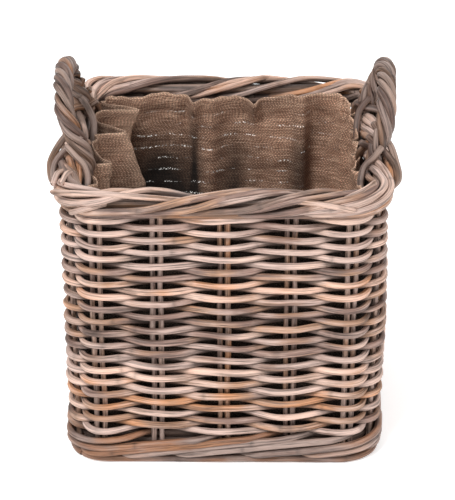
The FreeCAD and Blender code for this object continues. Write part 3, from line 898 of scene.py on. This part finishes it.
@dataclass
class Border:
    """Rods laid over the rim in pairs: up the outside, over the top and down the inside."""

    plan: WallPlan
    radius: float = 0.0043
    lay: float = 0.0122
    reach: float = 0.330
    packing: tuple = (-0.0065, 0.0060)
    packing_drop: float = 0.0125
    packing_radius: float = 0.0046
    stub_radius: float = 0.0035
    seed: int = 400
    turn_at: tuple = ((0.0, -120.0), (0.12, -78.0), (0.40, -12.0), (0.62, 66.0), (0.78, 138.0), (1.0, 236.0))
    stubs: tuple = (
        ((-0.040, -0.186, 0.346), (-0.085, -0.1915, 0.353), (-0.130, -0.1935, 0.3575),
         (-0.165, -0.192, 0.3580), (-0.188, -0.186, 0.3565), (-0.197, -0.182, 0.3555)),
        ((0.085, -0.192, 0.349), (0.118, -0.1985, 0.3475), (0.151, -0.2015, 0.3415)),
        ((-0.135, -0.186, 0.343), (-0.160, -0.196, 0.3405), (-0.176, -0.2035, 0.339)),
        ((0.140, -0.186, 0.350), (0.160, -0.181, 0.3575), (0.176, -0.165, 0.3615)),
        ((-0.176, -0.118, 0.352), (-0.184, -0.140, 0.3605), (-0.189, -0.164, 0.3585)),
        ((-0.186, -0.112, 0.353), (-0.195, -0.136, 0.359), (-0.199, -0.158, 0.3545)),
        ((-0.182, 0.142, 0.350), (-0.178, 0.120, 0.364), (-0.172, 0.104, 0.374)),
    )

    def stroke(self, start: float, member: int, rng: np.random.Generator) -> Cane:
        """One rod, from under the border outside to the wall inside.

        Args:
            start: Distance of its foot along the rim.
            member: 0 or 1, the first or second of its pair.
            rng: Where its unevenness comes from.

        Returns:
            The rod.
        """
        reach = self.reach * rng.uniform(0.88, 1.12)
        share = np.linspace(0, 1, int(reach / STEP))
        shares, degrees = np.array(self.turn_at).T
        angle = np.radians(np.interp(share, shares, degrees))
        kernel = np.hanning(15) / np.hanning(15).sum()
        angle = np.convolve(np.pad(angle, 7, mode="reflect", reflect_type="odd"), kernel, "valid")
        angle = angle + Wander(rng, 0.15, 0.16)(share * reach)
        arch = np.sin(math.pi * share)
        radius = self.lay * (0.88 + 0.19 * arch) + (0.0010 if member == 0 else -0.0005) * arch
        radius = radius + Wander(rng, 0.0009, 0.12)(share * reach)
        level = self.plan.rim_level
        total = WALLS * self.plan.quarter(level)
        along = (start + share * reach) % total
        heights = np.full(len(along), level)
        points, _ = self.plan.at(along, radius * np.cos(angle), heights, level)
        points[:, 2] = level + radius * np.sin(angle)
        # Painted shade: darker on the side facing the hoop, down the inside and at the tucked ends.
        core, _ = self.plan.at(along, 0 * along, heights, level)
        depth = 0.45 * (np.sin(angle) < -0.75) + 0.25 * (share > 0.85) + 0.20 * (share < 0.12)
        depth = np.convolve(np.pad(depth, 4, mode="edge"), np.ones(9) / 9, "valid")
        warm = rng.choice([0.2, 0.36, 0.6, 0.95], p=[0.28, 0.28, 0.24, 0.20])
        bark = 0.75 if rng.uniform() < 0.12 else None
        thick = self.radius * rng.uniform(0.88, 1.12)
        return Cane(points, thick, rng.integers(1 << 30), depth, core, warm=warm, bark=bark)

    def build(self, finish: bpy.types.Material) -> None:
        """Makes the rods over the hoop, two rings that pack the gap under it, and the cut ends."""
        rng = np.random.default_rng(self.seed)
        groups = WALLS * PAIRS
        total = WALLS * self.plan.quarter(self.plan.rim_level)
        canes = []
        for group in range(groups):
            for member in (0, 1):
                start = total * (group + 0.40 * member) / groups + rng.uniform(-0.009, 0.009)
                canes.append(self.stroke(start, member, rng))
        for k, offset in enumerate(self.packing):
            line = self.plan.ring(self.plan.rim_level - self.packing_drop, offset, 0.3 + 0.2 * k)
            # Painted shade on the packing rings under the border.
            canes.append(Cane(line, self.packing_radius, self.seed + 90 + k, np.full(len(line), 0.5)))
        for stub in self.stubs:
            line = smooth_line(np.array(stub))
            seed = rng.integers(1 << 30)
            canes.append(Cane(line, self.stub_radius, seed, light=0.72, warm=0.42, slant=1.0))
        fit(bundle("rim_rods", canes), finish, ["border_rods"])


@dataclass
class Handle:
    """One roped handle: canes twisted into a bow whose ends are bound round the border."""

    plan: WallPlan
    name: str
    mirror: float
    strands: int = 5
    feet: tuple = (0.0, 0.0)
    strand_radius: float = 0.0045
    loop_radius: float = 0.0042
    bow_radius: float = 0.0055
    lay: float = 0.0076
    turns: float = 3.7
    seed: int = 500
    route: tuple = (
        (0.0, 1.0, 0.0), (0.0, 1.0, 0.17), (0.22, 0.99, 0.36), (0.60, 0.95, 0.57),
        (0.86, 0.80, 0.78), (0.97, 0.46, 0.95), (1.0, 0.0, 1.0),
    )
    loops: tuple = (
        ((-0.006, 0.006, 0.056), (0.002, 0.005, 0.043), (0.014, 0.001, 0.029), (0.0225, -0.004, 0.012),
         (0.0250, -0.009, -0.002), (0.0215, -0.012, -0.014), (0.010, -0.012, -0.022),
         (-0.004, -0.010, -0.022)),
        ((-0.014, 0.000, 0.040), (-0.004, -0.001, 0.030), (0.009, -0.005, 0.021), (0.0190, -0.010, 0.008),
         (0.0205, -0.016, -0.006), (0.013, -0.019, -0.018), (0.000, -0.018, -0.024)),
        ((-0.004, 0.012, 0.034), (-0.014, 0.020, 0.021), (-0.0205, 0.030, 0.006), (-0.0200, 0.042, -0.010),
         (-0.0165, 0.052, -0.024)),
        ((0.004, -0.010, 0.030), (-0.008, -0.018, 0.0215), (-0.0185, -0.026, 0.011),
         (-0.0215, -0.035, -0.004), (-0.0175, -0.043, -0.020)),
        ((-0.022, 0.012, 0.028), (-0.010, 0.013, 0.0215), (0.005, 0.014, 0.0185), (0.0170, 0.015, 0.007),
         (0.0190, 0.016, -0.006), (0.011, 0.017, -0.018), (-0.002, 0.017, -0.022)),
    )

    def centre_line(self) -> np.ndarray:
        """Middle of the rope, from its front foot to its back foot."""
        low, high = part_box(f"{self.name}_handle_bow")
        bow = self.bow_radius
        top, foot = high.z - bow, low.z
        inner, outer = sorted((abs(low.x), abs(high.x)))
        inner, outer = inner + bow, outer - bow
        span = (high.y - low.y) / 2 - bow
        corners = []
        for end, shift in zip((-1, 1), self.feet):
            leg = [
                (
                    inner + (outer - inner) * out + shift * (1 - up) ** 1.3,
                    end * span * aside,
                    foot + (top - foot) * up,
                )
                for out, aside, up in self.route
            ]
            corners += leg if end < 0 else leg[-2::-1]
        line = smooth_line(np.array(corners), 0.002)
        line[:, 0] *= self.mirror
        return line

    def build(self, finish: bpy.types.Material) -> None:
        """Makes the rope and the loops that bind it."""
        rng = np.random.default_rng(self.seed)
        line = self.centre_line()
        heading = np.gradient(line, axis=0)
        heading /= np.linalg.norm(heading, axis=1, keepdims=True)
        side = np.array([1.0, 0.0, 0.0])
        frames = []
        for direction in heading:
            side = side - direction * side.dot(direction)
            side /= np.linalg.norm(side)
            frames.append((side, np.cross(direction, side)))
        first, second = (np.array([pair[i] for pair in frames]) for i in (0, 1))
        share = np.linspace(0, 1, len(line))
        narrow = 1 - 0.34 * np.clip(1 - np.minimum(share, 1 - share) / 0.13, 0, 1)
        canes = []
        for k in range(self.strands):
            angle = -TAU * (self.turns * share + k / self.strands) + Wander(rng, 0.20, 0.4)(share)
            radius = self.lay * narrow * (1 + Wander(rng, 0.08, 0.25)(share))
            around = np.cos(angle)[:, None] * first + np.sin(angle)[:, None] * second
            points = line + radius[:, None] * around
            both = evenly(np.hstack([points, line]))
            strand = self.strand_radius * rng.uniform(0.86, 1.10)
            # Painted shade on each strand's side that faces the rope's middle.
            canes.append(Cane(both[:, :3], strand, rng.integers(1 << 30), core=both[:, 3:]))
        nodes = [f"{self.name}_handle_strands", f"{self.name}_handle_bow"]
        fit(bundle(f"{self.name}_handle_rope", canes), finish, nodes)
        self.bind(rng, abs(line[0, 1]), finish)

    def bind(self, rng: np.random.Generator, span: float, finish: bpy.types.Material) -> None:
        """Makes the loops from each foot of the rope over the border and round it."""
        canes = []
        for end in (-1, 1):
            for loop in self.loops:
                jitter = rng.uniform(-0.0015, 0.0015, (len(loop), 3))
                route = np.array(loop) + jitter
                route = np.stack([
                    self.mirror * (self.plan.rim_half + route[:, 0]),
                    end * (span - route[:, 1]),
                    self.plan.rim_level + route[:, 2],
                ], axis=1)
                thick = self.loop_radius * rng.uniform(0.9, 1.06)
                canes.append(Cane(smooth_line(route), thick, rng.integers(1 << 30)))
        nodes = [f"{self.name}_handle_lashings"]
        fit(bundle(f"{self.name}_handle_loops", canes), finish, nodes)


@dataclass(frozen=True)
class Fold:
    """One fold of the liner.

    Attributes:
        along: Where it is, from the front left corner.
        width: How wide it is.
        inward: How far in it hangs.
        lean: How much steeper its far side is than its near side, -1 to 1.
        start: Share of its depth that it has at the upper edge.
        reach: How far below the edge it ends.
        selvage: How pale and frayed its crest is.
    """

    along: float
    width: float
    inward: float
    lean: float = 0.0
    start: float = 1.0
    reach: float = 0.16
    selvage: float = 0.0


@dataclass
class Liner:
    """Hessian bag that lines the basket, loosely folded, with an uneven upper edge."""

    plan: WallPlan
    columns: int = 450
    rows: int = 106
    inset: float = 0.0135
    rim_inset: float = 0.0050
    edge_drop: float = -0.0005
    thickness: float = 0.0011
    floor_share: float = 0.32
    # Painted shadow bands on the back wall: place from its middle, width, drop below the edge where they
    # start, strength; a negative strength is painted light.
    shadows: tuple = (
        (0.084, 0.046, 0.040, 0.36), (-0.097, 0.015, 0.020, 0.60), (-0.012, 0.014, 0.030, 0.40),
        (0.041, 0.005, 0.004, 0.45), (0.024, 0.010, 0.004, -0.45), (-0.060, 0.022, 0.004, -0.30),
    )
    small_folds: tuple = ((0.008, 0.02), (0.001, 0.008), (-0.4, 0.4))
    hems: tuple = (-0.07, -0.03, 0.012, 0.055, 0.10)
    seed: int = 600
    top: float = field(init=False)
    floor: float = field(init=False)

    def __post_init__(self) -> None:
        """Takes the levels of its upper edge and its floor."""
        self.top = self.plan.rim_level - self.edge_drop
        self.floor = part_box("hessian_liner")[0].z + 0.001

    def folds(self) -> list[Fold]:
        """The folds, by their distance along the wall from the front left corner."""
        rng = np.random.default_rng(self.seed)
        quarter = self.plan.quarter(self.top)
        total = WALLS * quarter
        folds = []
        place = 0.0
        while place < total:
            width, inward, lean = (rng.uniform(*span) for span in self.small_folds)
            folds.append(Fold(place, width, inward, lean))
            place += rng.uniform(0.028, 0.06)
        back, left, right = 2.5 * quarter, 3.5 * quarter, 1.5 * quarter
        folds += [
            Fold(back + 0.043, 0.0065, 0.026, 0.3, reach=0.07),
            Fold(back + 0.022, 0.016, 0.014, -0.2, reach=0.19),
            Fold(back - 0.036, 0.0055, 0.020, -0.3, reach=0.035),
            Fold(back - 0.064, 0.014, 0.012, 0.3, start=0.3, reach=0.20),
            Fold(back - 0.098, 0.013, 0.024, -0.4, start=0.2, reach=0.24),
            Fold(back + 0.118, 0.020, 0.016, 0.3, reach=0.14),
            Fold(left - 0.112, 0.0115, 0.052, 0.62, start=0.95, reach=0.13, selvage=0.9),
            Fold(left - 0.030, 0.0135, 0.074, 0.62, start=0.52, reach=0.26, selvage=0.9),
            Fold(left + 0.062, 0.0115, 0.032, 0.62, start=0.80, reach=0.18, selvage=0.9),
            Fold(left + 0.125, 0.016, 0.014, 0.4, reach=0.10),
            Fold(2 * quarter, 0.036, 0.017, start=0.35, reach=0.40),
            Fold(3 * quarter, 0.024, 0.009, start=0.4, reach=0.30),
        ]
        folds += [Fold(right + shift, 0.0045, 0.0075, 0.5, reach=0.025) for shift in self.hems]
        return folds

    def build(self, finish: bpy.types.Material) -> None:
        """Makes the bag from one flat grid, folds it and gives it its thickness."""
        bpy.ops.object.select_all(action="DESELECT")
        bpy.ops.mesh.primitive_grid_add(x_subdivisions=self.columns, y_subdivisions=self.rows, size=2.0)
        piece = bpy.context.object
        piece.name = piece.data.name = "liner_bag"
        mesh = piece.data
        places = points_of(mesh)
        share = (places[:, 0] + 1) / 2
        rise = (places[:, 1] + 1) / 2
        shaped, cloth, marks = self.shape(share, rise)
        mesh.vertices.foreach_set("co", shaped.ravel())
        self.map_cloth(mesh, cloth, rise)
        for name, values in marks.items():
            mesh.attributes.new(name, "FLOAT", "POINT").data.foreach_set("value", values)
        pick([piece])
        bpy.ops.object.mode_set(mode="EDIT")
        bpy.ops.mesh.select_all(action="SELECT")
        bpy.ops.mesh.remove_doubles(threshold=0.00002)
        bpy.ops.mesh.normals_make_consistent(inside=False)
        bpy.ops.object.mode_set(mode="OBJECT")
        bpy.ops.object.shade_smooth()
        thick = piece.modifiers.new("cloth", "SOLIDIFY")
        thick.thickness = self.thickness
        thick.offset = 0.0
        bpy.ops.object.modifier_apply(modifier=thick.name)
        self.darken_outside(mesh)
        fit(piece, finish, ["hessian_liner"])

    def darken_outside(self, mesh: bpy.types.Mesh) -> None:
        """Paints shade on the side of the cloth that faces the canes, and keeps the glowing daylight specks
        off it.
        """
        count = len(mesh.vertices)
        places = points_of(mesh)
        reach = np.abs(places[:, :2]).sum(axis=1).reshape(2, -1)
        outer = np.arange(count) // (count // 2) == int(reach[1].mean() > reach[0].mean())
        depth = np.clip(0.25 + (self.top - places[:, 2]) / 0.05, 0.25, 0.93)
        for name, dark in (("shaded", depth), ("open", 0 * depth)):
            values = np.empty(count)
            mesh.attributes[name].data.foreach_get("value", values)
            mesh.attributes[name].data.foreach_set("value", np.where(outer, dark, values))

    def shape(self, share: np.ndarray, rise: np.ndarray) -> tuple:
        """Folds the cloth.

        Args:
            share: Where each point is round the bag, 0 to 1.
            rise: Where it is from the middle of the floor, 0, to the upper edge, 1.

        Returns:
            The points, their place on the cloth in metres, and the marks that the finish reads.
        """
        rng = np.random.default_rng(self.seed + 1)
        on_floor = np.clip(rise / self.floor_share, 0, 1)
        up = np.clip((rise - self.floor_share) / (1 - self.floor_share), 0, 1)
        quarter = self.plan.quarter(self.top)
        total = WALLS * quarter
        along = share * total
        edge = self.top + Wander(rng, 0.0030, 0.15)(along) + Wander(rng, 0.0013, 0.02)(along)
        on_right = np.exp(-(((along - 1.5 * quarter) / 0.13) ** 4))
        edge = edge + on_right * (0.003 - 0.008 * np.abs(((along / 0.041) % 1) * 2 - 1))
        height = self.floor + (edge - self.floor) * up
        drop = edge - height
        inward = np.zeros(len(share))
        crest = np.zeros(len(share))
        for fold in self.folds():
            apart = (along - fold.along + total / 2) % total - total / 2
            width = fold.width * (1 - fold.lean * np.sign(apart))
            deepening = fold.start + (1 - fold.start) * np.clip(drop / 0.07, 0, 1)
            hang = deepening * np.clip(1.15 - drop / fold.reach, 0, 1) ** 0.8
            inward += fold.inward * np.exp(-((apart / width) ** 2)) * np.minimum(hang, 1)
            crest = np.maximum(crest, fold.selvage * np.exp(-((apart / 0.0035) ** 2)) * (hang > 0.3))
        ripple = 0.0022 * np.sin(height * 75 + along * 21) * np.sin(along * 43 + 1.3)
        ripple += 0.0010 * np.sin(height * 190 + 3 * np.sin(along * 37))
        near_rim = np.clip((height - (self.plan.rim_level - 0.026)) / 0.016, 0, 1)
        clear = self.inset + self.rim_inset * near_rim + inward + np.abs(ripple)
        points, _ = self.plan.at(along % total, -clear, height, self.top)
        floor_points = points.copy()
        floor_points[:, :2] *= on_floor[:, None]
        x, y = floor_points[:, 0], floor_points[:, 1]
        wrinkles = 0.0022 * (1 + np.sin(x * 55 + 2 * np.sin(y * 31)) * np.sin(y * 47 + 1.0))
        floor_points[:, 2] = self.floor + wrinkles * (1 - on_floor ** 6)
        points = np.where((up <= 0)[:, None], floor_points, points)
        points[np.isclose(share, 1)] = points[np.isclose(share, 0)]
        hem = np.clip(1 - drop / 0.007, 0, 1)
        hem = np.maximum(hem, crest) * (up > 0)
        # Painted shade and light: darker low down and to the left, lighter to the right, plus the painted
        # shadow bands.
        leftward = np.clip(0.55 - points[:, 0] / 0.20, 0, 1)
        lit = np.clip((points[:, 0] - 0.09) / 0.07, 0, 1) * 0.35
        shaded = np.clip((drop - 0.030) / 0.110, 0, 1) * (0.20 + 0.72 * leftward) * (up > 0) - lit
        for place, width, start, amount in self.shadows:
            band = np.exp(-(((along - 2.5 * quarter - place) / width) ** 2))
            shaded += amount * band * np.clip((drop - start) / 0.055, 0, 1)
        # Painted light: where the glowing daylight specks may show, on the back wall below the edge.
        back = np.clip(3.2 - np.abs(along - 2.5 * quarter) / quarter * 7.5, 0, 1)
        light = back * np.clip((drop - 0.012) / 0.02, 0, 1) * (up > 0.2)
        marks = {"hem": hem, "shaded": shaded, "open": light}
        rows = points.reshape(-1, len(np.unique(share)), 3)
        spans = np.linalg.norm(np.diff(rows[:, :, :2], axis=1), axis=2)
        threads = np.concatenate([np.zeros((len(rows), 1)), np.cumsum(spans, axis=1)], axis=1).ravel()
        return points, np.stack([threads, height], axis=1), marks

    def map_cloth(self, mesh: bpy.types.Mesh, cloth: np.ndarray, rise: np.ndarray) -> None:
        """Lays the cloth's threads: round and up the walls, and square over the floor."""
        count = len(mesh.loops)
        corner = np.empty(count, np.int64)
        mesh.loops.foreach_get("vertex_index", corner)
        places = points_of(mesh)
        starts = np.empty(len(mesh.polygons), np.int64)
        sizes = np.empty(len(mesh.polygons), np.int64)
        mesh.polygons.foreach_get("loop_start", starts)
        mesh.polygons.foreach_get("loop_total", sizes)
        face = np.repeat(np.arange(len(starts)), sizes)
        highest = np.zeros(len(starts))
        np.maximum.at(highest, face, rise[corner])
        on_floor = (highest[face] <= self.floor_share + 0.0001)[:, None]
        threads = np.where(on_floor, places[corner][:, :2] + 3.0, cloth[corner])
        mesh.uv_layers[0].name = "cloth"
        mesh.uv_layers[0].data.foreach_set("uv", threads.ravel())


@dataclass
class Studio:
    """Floor, lights and camera."""

    azimuth: float = 0.5
    elevation: float = 24.9
    distance: float = 3.0
    aim: tuple = (0.003, 0.0, 0.198)
    lens: float = 189.7
    floor_size: float = 14.0
    ambient: float = 0.62
    lights: tuple = (
        ("key", (-1.1, -2.0, 2.9), 1.1, 78.0),
        ("fill", (2.4, -1.6, 1.7), 1.8, 20.0),
        ("back", (0.4, 2.4, 2.2), 1.8, 26.0),
    )

    def build(self) -> None:
        """Sets up the studio."""
        bpy.ops.object.select_all(action="DESELECT")
        bpy.ops.mesh.primitive_plane_add(size=self.floor_size, location=(0, 0, 0))
        floor = bpy.context.object
        floor.name = "studio_floor"
        floor.data.materials.append(FloorFinish().make())
        for light in self.lights:
            self.light(*light)
        world = bpy.data.worlds.new("studio")
        bpy.context.scene.world = world
        world.use_nodes = True
        sky = world.node_tree.nodes["Background"].inputs
        sky["Color"].default_value = (1, 1, 1, 1)
        sky["Strength"].default_value = self.ambient
        turn, tilt = math.radians(self.azimuth), math.radians(self.elevation)
        back = Vector((math.sin(turn) * math.cos(tilt), -math.cos(turn) * math.cos(tilt), math.sin(tilt)))
        camera = bpy.data.cameras.new("camera")
        camera.lens = self.lens
        camera.sensor_fit = "HORIZONTAL"
        camera.sensor_width = 36.0
        eye = bpy.data.objects.new("camera", camera)
        eye.location = Vector(self.aim) + back * self.distance
        eye.rotation_euler = (-back).to_track_quat("-Z", "Y").to_euler()
        bpy.context.collection.objects.link(eye)
        bpy.context.scene.camera = eye
        bpy.context.scene.view_settings.view_transform = "Standard"

    def light(self, name: str, place: tuple, size: float, power: float) -> None:
        """Adds a soft square light that points at the basket."""
        lamp = bpy.data.lights.new(name, "AREA")
        lamp.size = size
        lamp.energy = power
        holder = bpy.data.objects.new(name, lamp)
        holder.location = place
        holder.rotation_euler = (Vector((0, 0, 0.2)) - Vector(place)).to_track_quat("-Z", "Y").to_euler()
        bpy.context.collection.objects.link(holder)


def dress_frame(nodes: dict) -> None:
    """Gives the CAD nodes that stay in view their finish."""
    for name, finish in nodes.items():
        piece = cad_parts[name]
        piece.data.materials.clear()
        piece.data.materials.append(finish.make())
        log.info("%s: dressed", name)


def main() -> None:
    """Builds the basket and the studio."""
    logging.basicConfig(level=logging.INFO, format="%(message)s")
    finishes = {wood: finish.make() for wood, finish in FINISHES.items()}
    plan = WallPlan.measured()
    log.info("plan: %s", plan)
    Stakes(plan).build(finishes[Wood.STAKE])
    Weave(plan, Sag()).build(finishes[Wood.WEAVER])
    FootWale(plan).build(FOOT_FINISH.make())
    Border(plan).build(finishes[Wood.BORDER])
    Handle(plan, "right", 1.0, feet=(0.024, 0.015), seed=500).build(finishes[Wood.HANDLE])
    Handle(plan, "left", -1.0, feet=(0.005, 0.020), seed=520).build(finishes[Wood.HANDLE])
    Liner(plan).build(HessianFinish().make())
    dress_frame({"border_core": HOOP_FINISH, "base_sticks": STICK_FINISH, "base_weavers": BASE_FINISH})
    Studio().build()


if __name__ == "__main__":
    main()
